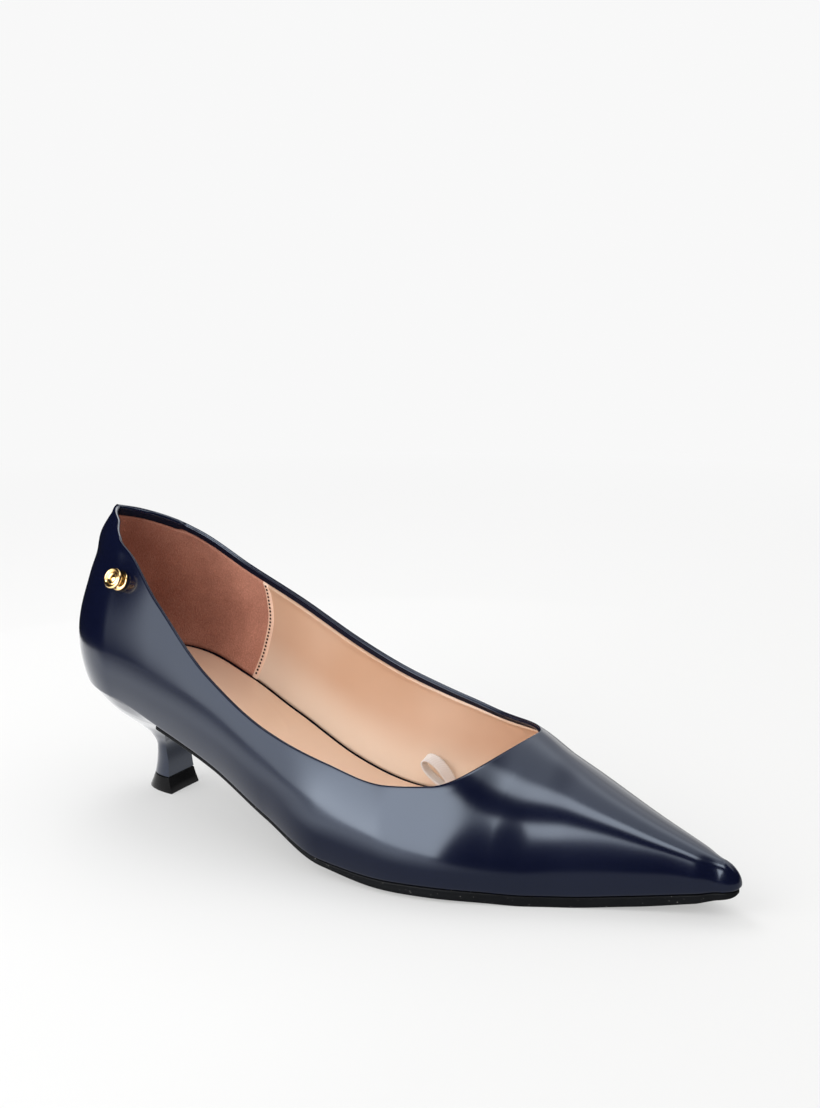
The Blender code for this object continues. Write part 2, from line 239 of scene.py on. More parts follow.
def edge_radius(along, side):
    """Half width of the last at its lasted edge."""
    return LAST["outer" if side == OUTER else "inner"](along) * BALL_WIDTH


def place(along, side, radius, height):
    """Points at a distance from the last's axis, in the planes of its ribs."""
    along, radius, height = np.broadcast_arrays(along, radius, height)
    heel = np.clip((along - BACK) / (HEEL_PIVOT - BACK), 0, 1)
    toe = np.clip((1 - along) / (1 - TOE_PIVOT), 0, 1)
    turn = pi / 2 * heel * toe
    middle = np.clip(along, HEEL_PIVOT, TOE_PIVOT) * LAST_LENGTH
    way = np.where(along < HEEL_PIVOT, -1, 1)
    x = middle + way * np.cos(turn) * radius
    width = 1 - TOE_PINCH * smoothstep(PINCH_START, PINCH_END, x / LAST_LENGTH)
    return np.stack([x - HEEL_SETBACK, side * np.sin(turn) * radius * width, height], axis=-1)


def rib_handles(along, side):
    """Radii and heights of a rib's four handles, from its edge to the crown."""
    belly = LAST["belly_out" if side == OUTER else "belly_in"](along)
    upper = [LAST[name](along) * BALL_WIDTH for name in ("shoulder", "crown")]
    radius = edge_radius(along, side)
    floor, top = edge_height(along), crown_height(along)
    handle = floor + LOWER_HANDLE * LAST["depth"](along) * INSTEP_DEPTH
    drop = LAST["drop"](along) * INSTEP_DEPTH
    return (radius, radius + belly * BALL_WIDTH, *upper), (floor, handle, top - drop, top)


def bezier(values, t):
    a, b, c, d = values
    return a * (1 - t) ** 3 + 3 * b * t * (1 - t) ** 2 + 3 * c * t * t * (1 - t) + d * t ** 3


def insole_top(along):
    return edge_height(along) + WALL + GAP + INSOLE_THICKNESS


def crown_height(along):
    """Height of the last's crown above the floor."""
    return edge_height(along) + LAST["depth"](along) * INSTEP_DEPTH


def on_rib(along, side, share):
    """Points on the last, from share 0 at its edge to 1 at the crown, which is level at the toe."""
    radii, heights = rib_handles(along, side)
    points = place(along, side, bezier(radii, share), bezier(heights, share))
    points[..., 1] += LAST["ridge"](along) * BALL_WIDTH * share ** 2
    missing = np.where(along > TOE_PIVOT, crown_height(TOE_PIVOT) - crown_height(along), 0)
    points[..., 2] += missing * share ** 2
    return points


def share_at(along, side, height):
    """How far up a rib a height is reached."""
    heights = rib_handles(along, side)[1]
    low = np.zeros(np.shape(along))
    high = np.ones(np.shape(along))
    for _ in range(40):
        middle = (low + high) / 2
        below = bezier(heights, middle) < height
        low = np.where(below, middle, low)
        high = np.where(below, high, middle)
    return low


def top_share(along, side):
    """Share of a rib at the topline, or 1 in front of the throat."""
    rows = [(row.along, (row.outer if side == OUTER else row.inner) * BACK_HEIGHT) for row in TOPLINE]
    topline = Smooth(*zip(*rows, (THROAT, crown_height(THROAT))))
    return np.where(along < THROAT, share_at(along, side, topline(along)), 1.0)


def stations(step, start=BACK):
    """Places along the last: fine round the heel, the throat and the toe."""
    ends = (start, THROAT - 0.03, THROAT, THROAT + 0.03, TOE_PIVOT, 1.0)
    found = [start]
    for low, high, finer in zip(ends, ends[1:], (1, 2, 2, 1, 3)):
        count = ceil((high - low) / (step / finer))
        found += [low + (high - low) * (i + 1) / count for i in range(count)]
    return np.array(found)


def both_sides(along, make):
    """Rows of points once round the last, outer side first, to the tip and back."""
    outer, inner = [make(along[:, None], side) for side in (OUTER, INNER)]
    return np.concatenate([outer, inner[::-1]])


def normals_of(grid):
    """Outward normals of a grid, shared where points coincide."""
    across = grid[1:, 1:] - grid[:-1, :-1]
    along = grid[:-1, 1:] - grid[1:, :-1]
    faces = np.cross(across, along)
    total = np.zeros(grid.shape)
    for rows in (slice(0, -1), slice(1, None)):
        for places in (slice(0, -1), slice(1, None)):
            total[rows, places] += faces
    keys = np.round(grid.reshape(-1, 3) / 1e-6).astype(np.int64)
    _, group = np.unique(keys, axis=0, return_inverse=True)
    summed = np.zeros((group.max() + 1, 3))
    np.add.at(summed, group.ravel(), total.reshape(-1, 3))
    lengths = np.linalg.norm(summed, axis=1, keepdims=True)
    return (summed / np.maximum(lengths, 1e-12))[group.ravel()].reshape(grid.shape)


# Meshes and materials

def add_object(name, data):
    made = bpy.data.objects.new(name, data)
    bpy.context.scene.collection.objects.link(made)
    return made


def hide_from(made, *rays):
    """Hides an object from some kinds of rays."""
    for ray in rays:
        setattr(made, "visible_" + ray, False)


def add_piece(mesh, finish, slot_name, *replaced):
    """A smooth piece that rides with the shoe and stands for the named nodes."""
    mesh.materials.append(finish)
    mesh.shade_smooth()
    made = add_object(mesh.name, mesh)
    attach(made, "root")
    if replaced:
        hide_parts(*replaced)


def mesh_of(name, grids, sharp=None, matt_from=99):
    """One mesh through grids of points, joined where points coincide.

    Its ends are closed if an angle for sharp edges is given. The grids from number matt_from on
    take its second material.
    """
    points, faces, finishes = [], [], []
    for number, grid in enumerate(grids):
        start = sum(len(p) for p in points)
        rows, places = grid.shape[:2]
        index = np.arange(rows * places).reshape(rows, places) + start
        quads = np.stack([index[:-1, :-1], index[1:, :-1], index[1:, 1:], index[:-1, 1:]], axis=-1)
        points.append(grid.reshape(-1, 3))
        faces.append(quads.reshape(-1, 4))
        finishes += [int(number >= matt_from)] * len(faces[-1])
    mesh = bpy.data.meshes.new(name)
    mesh.from_pydata(np.concatenate(points).tolist(), [], np.concatenate(faces).tolist())
    mesh.polygons.foreach_set("material_index", finishes)
    bm = bmesh.new()
    bm.from_mesh(mesh)
    bmesh.ops.remove_doubles(bm, verts=bm.verts, dist=2e-6)
    if sharp:
        bmesh.ops.holes_fill(bm, edges=[edge for edge in bm.edges if edge.is_boundary], sides=0)
    bmesh.ops.recalc_face_normals(bm, faces=bm.faces)
    bm.to_mesh(mesh)
    bm.free()
    if sharp:
        mesh.set_sharp_from_angle(angle=radians(sharp))
    return mesh


def add_node(tree, kind, inputs=None, **settings):
    """A shader node with its settings, and its inputs linked or set."""
    node = tree.nodes.new("ShaderNode" + kind)
    for name, value in settings.items():
        setattr(node, name, value)
    for name, value in (inputs or {}).items():
        if isinstance(value, bpy.types.NodeSocket):
            tree.links.new(value, node.inputs[name])
        else:
            node.inputs[name].default_value = value
    return node


def new_material(name, **values):
    """A material with its node tree and its Principled shader."""
    made = bpy.data.materials.new(name)
    made.use_nodes = True
    shader = made.node_tree.nodes["Principled BSDF"]
    for label, value in values.items():
        shader.inputs[label.replace("_", " ")].default_value = value
    return made, made.node_tree, shader


def show(tree, socket):
    """Makes a shader the surface of its material."""
    tree.links.new(socket, tree.nodes["Material Output"].inputs["Surface"])


def white_glow(tree, strength):
    return add_node(tree, "Emission", {"Color": (1, 1, 1, 1), "Strength": strength}).outputs[0]


def noise_value(tree, scale, detail=3.0, rough=0.5, stretch=None):
    """A noise pattern in object space."""
    where = add_node(tree, "TexCoord").outputs["Object"]
    if stretch:
        where = add_node(tree, "Mapping", {"Vector": where, "Scale": stretch}).outputs[0]
    inputs = {"Vector": where, "Scale": scale, "Detail": detail, "Roughness": rough}
    return add_node(tree, "TexNoise", inputs).outputs["Fac"]


def axes(tree, source, output):
    """The X, Y and Z outputs of a place."""
    where = add_node(tree, source).outputs[output]
    return add_node(tree, "SeparateXYZ", {"Vector": where}).outputs


def calculate(tree, first, second, operation="MULTIPLY"):
    return add_node(tree, "Math", {0: first, 1: second}, operation=operation).outputs[0]


def span(tree, value, low, high, start=0.0, end=1.0, **settings):
    """A value carried from one range to another."""
    inputs = {"Value": value, "From Min": start, "From Max": end, "To Min": low, "To Max": high}
    return add_node(tree, "MapRange", inputs, **settings).outputs["Result"]


def blend_colours(tree, factor, first, second):
    """Two colours mixed by a factor."""
    inputs = {"Factor": factor}
    for socket, value in ((6, first), (7, second)):
        inputs[socket] = value if isinstance(value, bpy.types.NodeSocket) else (*value, 1.0)
    return add_node(tree, "Mix", inputs, data_type="RGBA").outputs[2]


def paint(tree, shader, factor, first, second):
    """A base colour blended from two colours."""
    tree.links.new(blend_colours(tree, factor, first, second), shader.inputs["Base Color"])


def roughen(tree, shader, value, low, high, start=0.0, end=1.0):
    """A roughness that follows a pattern."""
    tree.links.new(span(tree, value, low, high, start, end), shader.inputs["Roughness"])


def add_bump(tree, shader, height, strength, distance_mm, before=None):
    """Relief on a shader, on top of an earlier one if given."""
    inputs = {"Height": height, "Strength": strength, "Distance": distance_mm * MM}
    if before:
        inputs["Normal"] = before
    bump = add_node(tree, "Bump", inputs)
    tree.links.new(bump.outputs["Normal"], shader.inputs["Normal"])
    return bump.outputs["Normal"]


def navy_leather(name, roughness):
    """Polished smooth navy leather with a very fine grain."""
    made, tree, shader = new_material(
        name, Specular_IOR_Level=0.48, Specular_Tint=(0.72, 0.84, 1.0, 1.0),
        Coat_Weight=0.10, Coat_Roughness=0.08,
    )
    cloud = noise_value(tree, 38.0)
    paint(tree, shader, cloud, (0.0020, 0.0032, 0.0145), (0.0034, 0.0050, 0.0205))
    roughen(tree, shader, cloud, roughness - 0.02, roughness + 0.02, 0.3, 0.7)
    add_bump(tree, shader, noise_value(tree, 1500.0, 3.0, 0.6), 0.05, 0.02)
    return made


def black_rubber(name, colour, roughness, specks=0.0):
    """Slightly uneven black rubber, with fine pale specks if asked."""
    made, tree, shader = new_material(name, Specular_IOR_Level=0.08)
    cloud = noise_value(tree, 120.0, 4.0)
    dust = span(tree, noise_value(tree, 1300.0, 1.0), 0.0, specks, 0.72, 0.82)
    black = blend_colours(tree, cloud, colour, tuple(1.8 * c for c in colour))
    paint(tree, shader, dust, black, (0.35, 0.34, 0.32))
    roughen(tree, shader, cloud, roughness - 0.05, roughness + 0.07)
    add_bump(tree, shader, noise_value(tree, 1600.0, 3.0), 0.15, 0.05)
    return made


def tan_leather(name, colour, light):
    """Faintly mottled lining leather, with a whitish painted sheen towards its foot."""
    made, tree, shader = new_material(
        name, Specular_IOR_Level=0.5, Coat_Weight=0.25, Coat_Roughness=0.35,
    )
    cloud = span(tree, noise_value(tree, 17.0, 3.0), 0.0, 1.0, 0.3, 0.7)
    # Painted sheen: where the mesh marks it, the colour is blended towards a pale whitish tan that stands in
    # for light on the lower wall
    pale = add_node(tree, "Attribute", attribute_name="painted_sheen").outputs["Fac"]
    paint(tree, shader, pale, blend_colours(tree, cloud, colour, light), (0.93, 0.77, 0.62))
    roughen(tree, shader, cloud, 0.42, 0.52, 0.3, 0.7)
    first = add_bump(tree, shader, noise_value(tree, 1400.0, 4.0, 0.6), 0.18, 0.05)
    add_bump(tree, shader, noise_value(tree, 110.0, 2.0), 0.10, 0.5, first)
    return made


def suede():
    """Brushed rose-brown suede, with painted light towards the front and painted shade towards the back."""
    made, tree, shader = new_material(
        "suede", Specular_IOR_Level=0.08, Roughness=0.95,
        Sheen_Weight=0.12, Sheen_Roughness=0.45, Sheen_Tint=(0.85, 0.55, 0.45, 1.0),
    )
    nap = span(tree, noise_value(tree, 2000.0, 4.0, 0.7, (1.0, 1.0, 0.6)), 0.0, 1.0, 0.25, 0.75)
    cloud = noise_value(tree, 42.0, 4.0, 0.6)
    # Painted light and shade: by its X place the colour runs from the dark pair at the back to the light pair
    # towards the front, mottled by a soft cloud
    painted_light_along_x = span(tree, axes(tree, "TexCoord", "Object")["X"], 0.05, 1.10, -0.034, 0.020)
    painted_light_and_mottle = calculate(tree, painted_light_along_x, span(tree, cloud, 0.7, 1.2, 0.35, 0.7))
    dark = blend_colours(tree, nap, (0.105, 0.026, 0.013), (0.190, 0.050, 0.030))
    light = blend_colours(tree, nap, (0.480, 0.215, 0.150), (0.760, 0.380, 0.280))
    paint(tree, shader, painted_light_and_mottle, dark, light)
    add_bump(tree, shader, nap, 0.6, 0.3)
    return made


def gold():
    """Polished yellow gold plating with faint wear."""
    made, tree, shader = new_material("gold", Metallic=1.0)
    cloud = noise_value(tree, 700.0, 3.0)
    paint(tree, shader, cloud, (0.80, 0.52, 0.20), (0.92, 0.68, 0.34))
    roughen(tree, shader, cloud, 0.10, 0.22)
    return made


def white_ribbon():
    """Off-white woven tape."""
    made, tree, shader = new_material(
        "white_ribbon", Roughness=0.8, Specular_IOR_Level=0.2, Sheen_Weight=0.2,
    )
    where = add_node(tree, "UVMap").outputs["UV"]
    weave = add_node(tree, "TexChecker", {"Vector": where, "Scale": 1.0}).outputs["Fac"]
    fuzz = noise_value(tree, 2600.0, 3.0)
    colour = blend_colours(tree, fuzz, (0.91, 0.89, 0.87), (0.97, 0.96, 0.95))
    paint(tree, shader, span(tree, weave, 0.0, 0.35), colour, (0.76, 0.72, 0.68))
    first = add_bump(tree, shader, weave, 0.5, 0.12)
    add_bump(tree, shader, fuzz, 0.4, 0.1, first)
    return made


def plain(name, colour, roughness):
    """A plain, slightly uneven finish."""
    made, tree, shader = new_material(name, Specular_IOR_Level=0.12)
    cloud = noise_value(tree, 300.0)
    paint(tree, shader, cloud, colour, tuple(1.25 * c for c in colour))
    roughen(tree, shader, cloud, roughness - 0.05, roughness + 0.05)
    return made


# The upper and what lines it

def softness(along):
    """1 where the collar is a soft roll, 0 where it has its fine beads."""
    return 1 - smoothstep(SOFT_BACK - SOFT_FADE, SOFT_BACK, along)


def facing_depth(along):
    """Depth of the navy strip inside the topline, in millimetres."""
    return FACING_DEPTH + (FACING_DEPTH_BACK - FACING_DEPTH) * softness(along)


def leather_rib(along, side):
    """Ribs of the outside, from the turned-under strip to the topline."""
    radius = edge_radius(along, side)
    floor = edge_height(along)
    rows = [place(along, side, radius - inset, floor) for inset in (TURNED_EDGE, 1.6 * EDGE_ROUND)]
    start = share_at(along, side, floor + EDGE_ROUND)
    foot = on_rib(along, side, start)
    corner = place(along, side, radius - EDGE_ROUND, floor)
    bend = place(along, side, radius, floor)
    for t in (0.0, 0.25, 0.5, 0.75):
        rows.append(corner * (1 - t) ** 2 + bend * 2 * t * (1 - t) + foot * t * t)
    shares = start + (top_share(along, side) - start) * np.linspace(0, 1, 64)
    return np.concatenate(rows + [on_rib(along, side, shares)], axis=1)


ALONG = stations(0.004)


def creased(grid):
    """The outside with its creases, which leave the topline as it is."""
    around = np.concatenate([BACK - ALONG, (ALONG - BACK)[::-1]])[:, None]
    below = lengths_along(grid[:, ::-1])[:, ::-1]
    height = np.zeros(grid.shape[:2])
    for crease in CREASES:
        across = (grid[..., 2] / MM - crease.level) / crease.spread
        height += crease.height * np.exp(-((around - crease.around) / crease.reach) ** 2 - across ** 2)
    return grid + normals_of(grid) * (height * smoothstep(0, CREASE_CLEAR * MM, below) * MM)[..., None]


LEATHER_GRID = creased(both_sides(ALONG, leather_rib))
LEATHER_NORMALS = normals_of(LEATHER_GRID)


def topline_path():
    """The topline once round, from the throat along the inner side to the back and on.

    Gives its points, their outward, upward and onward directions, and their places along the last.
    """
    count = len(ALONG)
    behind = int(np.sum(ALONG <= THROAT + 1e-9))
    inner = np.arange(2 * count - behind, 2 * count)
    order = np.concatenate([inner, np.arange(1, behind)])
    points = LEATHER_GRID[order, -1]
    outward = LEATHER_NORMALS[order, -1]
    tangent = unit(np.gradient(points, axis=0))
    upward = unit(np.cross(outward, tangent))
    away = points - LEATHER_GRID[order, -2]
    upward *= np.sign(np.sum(upward * away, axis=1, keepdims=True))
    along = np.concatenate([ALONG[:behind][::-1], ALONG[1:behind]])
    return points, outward, upward, tangent, along


def make_upper(finish, matt):
    """The outside, the folded edge and bead, and the matt strip inside the topline."""
    points, outward, upward, tangent, along = topline_path()
    soft = softness(along)
    depth = facing_depth(along)
    turns = np.linspace(0, pi, len(BEADS))
    profile = []
    for bead, turn in zip(BEADS, turns):
        roll = (SOFT_ROLL * (1 - cos(turn)) / 2, SOFT_ROLL * ROLL_RISE * sin(turn))
        profile.append([fine + (wide - fine) * soft for fine, wide in zip(bead, roll)])
    face = profile[-1][0]
    profile += [(face, -depth * share) for share in FACING_SHARES]
    profile += [(face - inward, -depth * share) for inward, share in FACING_EDGE]
    profile += [(FACING_BACK + 0 * along, -depth * share) for share in FACING_BACK_SHARES]
    profile.append((LEATHER + 0 * along, 0 * along))
    middle = points[0, 1]
    number = np.arange(len(points))
    side = np.where(number < len(points) // 2, INNER, OUTER)
    strip = []
    for inward, above in profile:
        row = points - outward * (inward * MM)[:, None] + upward * (above * MM)[:, None]
        crossed = (side * (row[:, 1] - middle) < 0) | (number % (len(points) - 1) == 0)
        slide = (middle - row[:, 1]) / np.where(np.abs(tangent[:, 1]) < 1e-6, 1, tangent[:, 1])
        near = crossed & (along > THROAT - 0.08)
        strip.append(row + tangent * np.where(near, slide, 0)[:, None])
    strip = np.stack(strip, axis=1)
    inside = LEATHER_GRID - LEATHER_NORMALS * LEATHER * MM
    edge = np.stack([inside[:, 0], LEATHER_GRID[:, 0]], axis=1)
    rim, facing = strip[:, :len(BEADS)], strip[:, len(BEADS) - 1:]
    mesh = mesh_of("upper_leather", [LEATHER_GRID, rim, edge, inside[::-1], facing], matt_from=3)
    add_piece(mesh, finish, "navy_leather", "upper")
    mesh.materials.append(matt)


def distance_to_topline(points):
    """Distance of each point from the topline, in millimetres."""
    path = topline_path()[0]
    return np.array([np.sqrt(((row[:, None] - path) ** 2).sum(-1).min(1)) for row in points]) / MM


RIM_ROWS = (0, 0.8, 1.5, 1.9, 2.1, 2.3, 2.5, 2.7, 2.9, 3.1, 3.3, 3.5, 3.8, 4.3, 5.0, 5.8, 6.8, 8.0)
WALL_ROWS = 44
ROWS = len(RIM_ROWS) + WALL_ROWS
BELOW_INSOLE = 0.9 * MM


def lining_ribs(along, side):
    """Points in line with the lining, from the insole up to the topline."""
    low = share_at(along, side, insole_top(along) - BELOW_INSOLE)
    top = top_share(along, side)
    fine = low + (top - low) * np.linspace(1, 0, 160)
    points = on_rib(along, side, fine)
    rows = []
    for reach, shares in zip(lengths_along(points), fine):
        rim = np.array(RIM_ROWS) * MM * min(1.0, reach[-1] / (16 * MM))
        rest = np.linspace(rim[-1], reach[-1], WALL_ROWS + 1)[1:]
        rows.append(np.interp(np.concatenate([rim, rest]), reach, shares))
    return on_rib(along, side, np.array(rows)[:, ::-1])


LINING_SIDES = {side: lining_ribs(ALONG[:, None], side) for side in (OUTER, INNER)}


def lining_points(side, along):
    """Lining points at given places along the last for each row."""
    grid = LINING_SIDES[side]
    found = np.empty((len(along), ROWS, 3))
    for row, axis in np.ndindex(ROWS, 3):
        found[:, row, axis] = np.interp(along[:, row], ALONG, grid[:, row, axis])
    return found


LINING_RIBS_START = 0.24  # along the last, ahead of the seam of the heel grip
SEAM_PLACES = SEAM["along"](np.arange(ROWS) / (ROWS - 1))


# The puffed rim of the lining, in millimetres below the navy strip
PUFF_CLEAR = 0.05
PUFF_RISE = 0.75
PUFF_FALL = 0.9
PUFF_END = 3.4
WRINKLE_HEIGHT = 0.22
WRINKLE_SCALE = 420.0


def lining_face(grid, along, puff):
    """Millimetres inside the last: tucked under the navy strip, puffed below it, then flat."""
    distance = distance_to_topline(grid)
    start = facing_depth(along) + PUFF_CLEAR
    rise = smoothstep(start, start + PUFF_RISE, distance)
    fall = smoothstep(start + PUFF_FALL, start + PUFF_END, distance)
    rim = LINING_FACE + (LINING_RIM - LINING_FACE) * puff * (1 - fall)
    wrinkle = np.array([
        noise.noise(Vector(point) * WRINKLE_SCALE) for point in grid.reshape(-1, 3)
    ]).reshape(distance.shape)
    rim = rim + WRINKLE_HEIGHT * puff * wrinkle * (1 - fall)
    return LINING_UNDER_FACING + (rim - LINING_UNDER_FACING) * rise


def lining_solid(name, parts, puff):
    """A closed lining through places along the last on either side."""
    grid = np.concatenate([lining_points(side, along) for side, along in parts])
    along = np.concatenate([along for _, along in parts])
    normals = normals_of(grid)
    face = grid - normals * (lining_face(grid, along, puff) * MM)[..., None]
    back = grid - normals * LINING_BACK * MM
    grids = [face, back[::-1]]
    for row in (0, -1):
        grids.append(np.stack([back[:, row], face[:, row]], axis=1))
        grids.append(np.stack([back[row], face[row]], axis=1))
    return mesh_of(name, grids)


def make_lining(finish):
    """The tan lining, from the seam of the heel grip to the toe."""
    front = ALONG[ALONG > LINING_RIBS_START]
    lead = np.linspace(0, 1, 6)[:-1, None]
    start = SEAM_PLACES + (front[0] - SEAM_PLACES) * lead
    along = np.concatenate([start, np.repeat(front[:, None], ROWS, axis=1)])
    mesh = lining_solid("lining", [(OUTER, along), (INNER, along[::-1])], 1.0)
    # Painted sheen: how much whitish painted sheen each lining point takes, full below 6 mm above the lasted
    # edge and none above 26 mm
    spots = np.array([vertex.co[:] for vertex in mesh.vertices])
    above = spots[:, 2] - edge_height((spots[:, 0] + HEEL_SETBACK) / LAST_LENGTH)
    painted_sheen = mesh.attributes.new("painted_sheen", "FLOAT", "POINT")
    painted_sheen.data.foreach_set("value", 1 - smoothstep(6 * MM, 26 * MM, above))
    add_piece(mesh, finish, "tan_leather")


def make_heel_grip(finish):
    """The suede heel grip, round the back from seam to seam."""
    along = BACK + (SEAM_PLACES + 0.002 - BACK) * np.linspace(0, 1, 70)[:, None]
    parts = [(INNER, along[:0:-1]), (OUTER, along)]
    add_piece(lining_solid("heel_grip", parts, GRIP_PUFF), finish, "tan_leather")


def make_seam(strip_finish, hole_shade_finish):
    """The raw edge of the lining over the heel grip, with its row of needle holes drawn as flat dots of dark
    painted shade.
    """
    width = SEAM_STRIP_WIDTH * MM / LAST_LENGTH
    across = np.array([-0.15, 0.0, 0.08, 0.5, 0.92, 1.0, 1.15])
    height = np.array([-0.25, 0.20, 0.36, 0.40, 0.36, 0.20, -0.25])
    middle_row = len(across) // 2
    grids, holes = [], bmesh.new()
    for side in (OUTER, INNER):
        along = SEAM_PLACES + (across * width)[:, None]
        grid = lining_points(side, along)
        if side == INNER:
            grid = grid[::-1]
        normals = normals_of(grid)
        face = lining_face(grid, along, GRIP_PUFF) + height[:, None]
        surface = grid - normals * (face * MM)[..., None]
        grids.append(surface)
        middle = surface[middle_row]
        lengths = lengths_along(middle)
        end = lengths[-1] - (FACING_DEPTH + 1.0) * MM
        for reach in np.arange(2.0 * MM, end, HOLE_SPACING * MM):
            point = Vector([np.interp(reach, lengths, middle[:, axis]) for axis in range(3)])
            i = int(np.interp(reach, lengths, np.arange(ROWS)))
            normal = Vector(normals[middle_row, i])
            turn = normal.to_track_quat("Z", "Y").to_matrix().to_4x4()
            turn.translation = point
            # Each needle hole is a flattened dark dot on the strip: painted shade where a hole would be, not
            # a cut
            made = bmesh.ops.create_uvsphere(
                holes, u_segments=10, v_segments=6, radius=HOLE_RADIUS * MM, matrix=turn,
            )
            for vertex in made["verts"]:
                local = vertex.co - point
                vertex.co -= normal * local.dot(normal) * 0.5
    add_piece(mesh_of("grip_seam", grids), strip_finish, "tan_leather")
    mesh = bpy.data.meshes.new("grip_seam_holes")
    holes.to_mesh(mesh)
    holes.free()
    add_piece(mesh, hole_shade_finish, "tan_leather")


# Insole, sole and heel

INSOLE_EDGE_GAP = 0.55    # dark gap between the sock and the lining, in millimetres
SOCK_MARK_FRONT = 0.0525  # of the pressed outline of the heel pad
SOCK_MARK_SPREAD = 0.112  # larger for a wider outline
SOCK_MARK_WIDTH = 0.9
SOCK_MARK_DEPTH = 0.16
SOCK_DISH = 0.35          # millimetres, as the rest here
SOCK_ROUND = 0.5
SOCK_EDGE = 0.9
BOARD_INSET = 0.8
SOLE_CORNER = 0.6
SOLE_GROOVE = 0.10


def insole_relief(points):
    """The pressed outline of the heel pad, a parabola open to the back."""
    x, y = points[..., 0], points[..., 1]
    slope = 2 * np.abs(y) / SOCK_MARK_SPREAD ** 2
    away = np.abs(x - SOCK_MARK_FRONT + (y / SOCK_MARK_SPREAD) ** 2) / np.sqrt(1 + slope ** 2) / MM
    fade = smoothstep(0.000, 0.020, x)
    return SOCK_MARK_DEPTH * fade * np.exp(-(away / SOCK_MARK_WIDTH) ** 2)


def make_insole(finish):
    """The sock over the insole board, a little dished, with a rounded edge."""
    def ribs(along, side):
        relief = INSOLE_TOE_RELIEF * LAST["spring"](along)
        rim = edge_radius(along, side) - (LINING_FACE + INSOLE_EDGE_GAP) * MM - relief
        top = insole_top(along)
        shares = np.linspace(0, 1, 26)
        crest = place(along, side, rim * shares, top)
        dish = SOCK_DISH * MM * (1 - shares ** 2) * smoothstep(0.95, 0.80, along)
        rounded = SOCK_ROUND * MM * smoothstep(0.94, 1.0, shares)
        crest[..., 2] -= dish + rounded + insole_relief(crest) * MM
        rows = [crest]
        for radius, height in (
            (rim, top - SOCK_EDGE * MM), (rim, top - INSOLE_THICKNESS),
            (rim - BOARD_INSET * MM, edge_height(along)), (0, edge_height(along)),
        ):
            rows.append(place(along, side, radius, height))
        return np.concatenate(rows, axis=1)

    mesh = mesh_of("sock", [both_sides(stations(0.005), ribs)], sharp=50)
    add_piece(mesh, finish, "tan_leather", "insole")


def make_outsole(finish):
    """The thin black sole, finer under the waist."""
    def ribs(along, side):
        radius = edge_radius(along, side) - SOLE_INSET
        top = edge_height(along) - GAP
        depth = LAST["sole"](along) * SOLE_THICKNESS
        corner = np.minimum(SOLE_CORNER * MM, depth / 3)
        turns = np.linspace(pi / 2, 0, 5)

        def rounded(turn, height, way):
            inset = corner * (1 - cos(turn))
            return place(along, side, radius - inset, height + way * corner * (1 - sin(turn)))

        rows = [place(along, side, (radius - corner) * share, top) for share in (0, .3, .6, .9)]
        rows += [rounded(turn, top, -1) for turn in turns]
        groove = SOLE_GROOVE * MM * smoothstep(0.6, 1.2, depth / MM)
        for share, inset in ((0.25, groove), (0.5, 0), (0.75, 0)):
            rows.append(place(along, side, radius - inset, top - corner - (depth - 2 * corner) * share))
        rows += [rounded(turn, top - depth, 1) for turn in turns[::-1]]
        for share in (.8, .6, .4, .2, 0):
            rows.append(place(along, side, (radius - corner) * share, top - depth))
        return np.concatenate(rows, axis=1)

    along = stations(0.004, BREAST + GAP / LAST_LENGTH)
    mesh = mesh_of("sole", [both_sides(along, ribs)], sharp=50)
    add_piece(mesh, finish, "black_sole", "outsole")


HEEL_CORNERS = 36
HEEL_LEVELS = 46
BREAST_STEPS = 10


def with_breast(ring):
    """A ring of points closed by the straight line of the breast."""
    shares = np.linspace(0, 1, BREAST_STEPS + 1)[1:, None]
    return np.concatenate([ring, ring[-1] + (ring[0] - ring[-1]) * shares])


def heel_ring(level):
    """A section of the heel at a share of its height."""
    seat_length = BREAST * LAST_LENGTH
    back = HEEL["back"](level) * seat_length - HEEL_SETBACK
    breast = HEEL["breast"](level) * seat_length - HEEL_SETBACK
    back_height = level * (edge_height(BACK) - GAP)
    breast_height = HEEL["front_level"](level) * (edge_height(BREAST) - GAP)
    power = 2 / HEEL_SQUARENESS
    turn = pi / 2 * (1 - np.arange(2 * HEEL_CORNERS + 1) / HEEL_CORNERS)
    forward = 1 - np.abs(np.cos(turn)) ** power
    aside = np.copysign(np.abs(np.sin(turn)) ** power, turn)
    return with_breast(np.stack([
        back + (breast - back) * forward,
        -HEEL["width"](level) * HEEL_WIDTH / 2 * aside,
        back_height + (breast_height - back_height) * forward,
    ], axis=-1))


def seat_ring():
    """The top of the heel, along the lasted edge."""
    places = BREAST + (BACK - BREAST) * np.arange(HEEL_CORNERS + 1) / HEEL_CORNERS
    outer, inner = [
        place(places, side, edge_radius(places, side) - HEEL_INSET, edge_height(places) - GAP)
        for side in (OUTER, INNER)
    ]
    return with_breast(np.concatenate([outer, inner[:-1][::-1]]))


def make_heel(finish):
    """The covered heel, from the top piece up to the seat."""
    joint = (TIP_THICKNESS + GAP) / (edge_height(BACK) - GAP)
    levels = joint + (HEEL_SECTIONS[-1].level - joint) * np.arange(HEEL_LEVELS + 1) / HEEL_LEVELS
    rings = [heel_ring(level) for level in levels]
    rings[0][:, 2] = TIP_THICKNESS + GAP
    last, seat = rings[-1], seat_ring()
    lead = (last - rings[-2]) * 4
    for share in (.25, .5, .75):
        rings.append(last + lead * share * (1 - share) ** 2 + (seat - last) * share * share * (3 - 2 * share))
    rings.append(seat)
    mesh = mesh_of("heel_cover", [np.stack(rings)], sharp=45)
    add_piece(mesh, finish, "heel_cover", "heel")


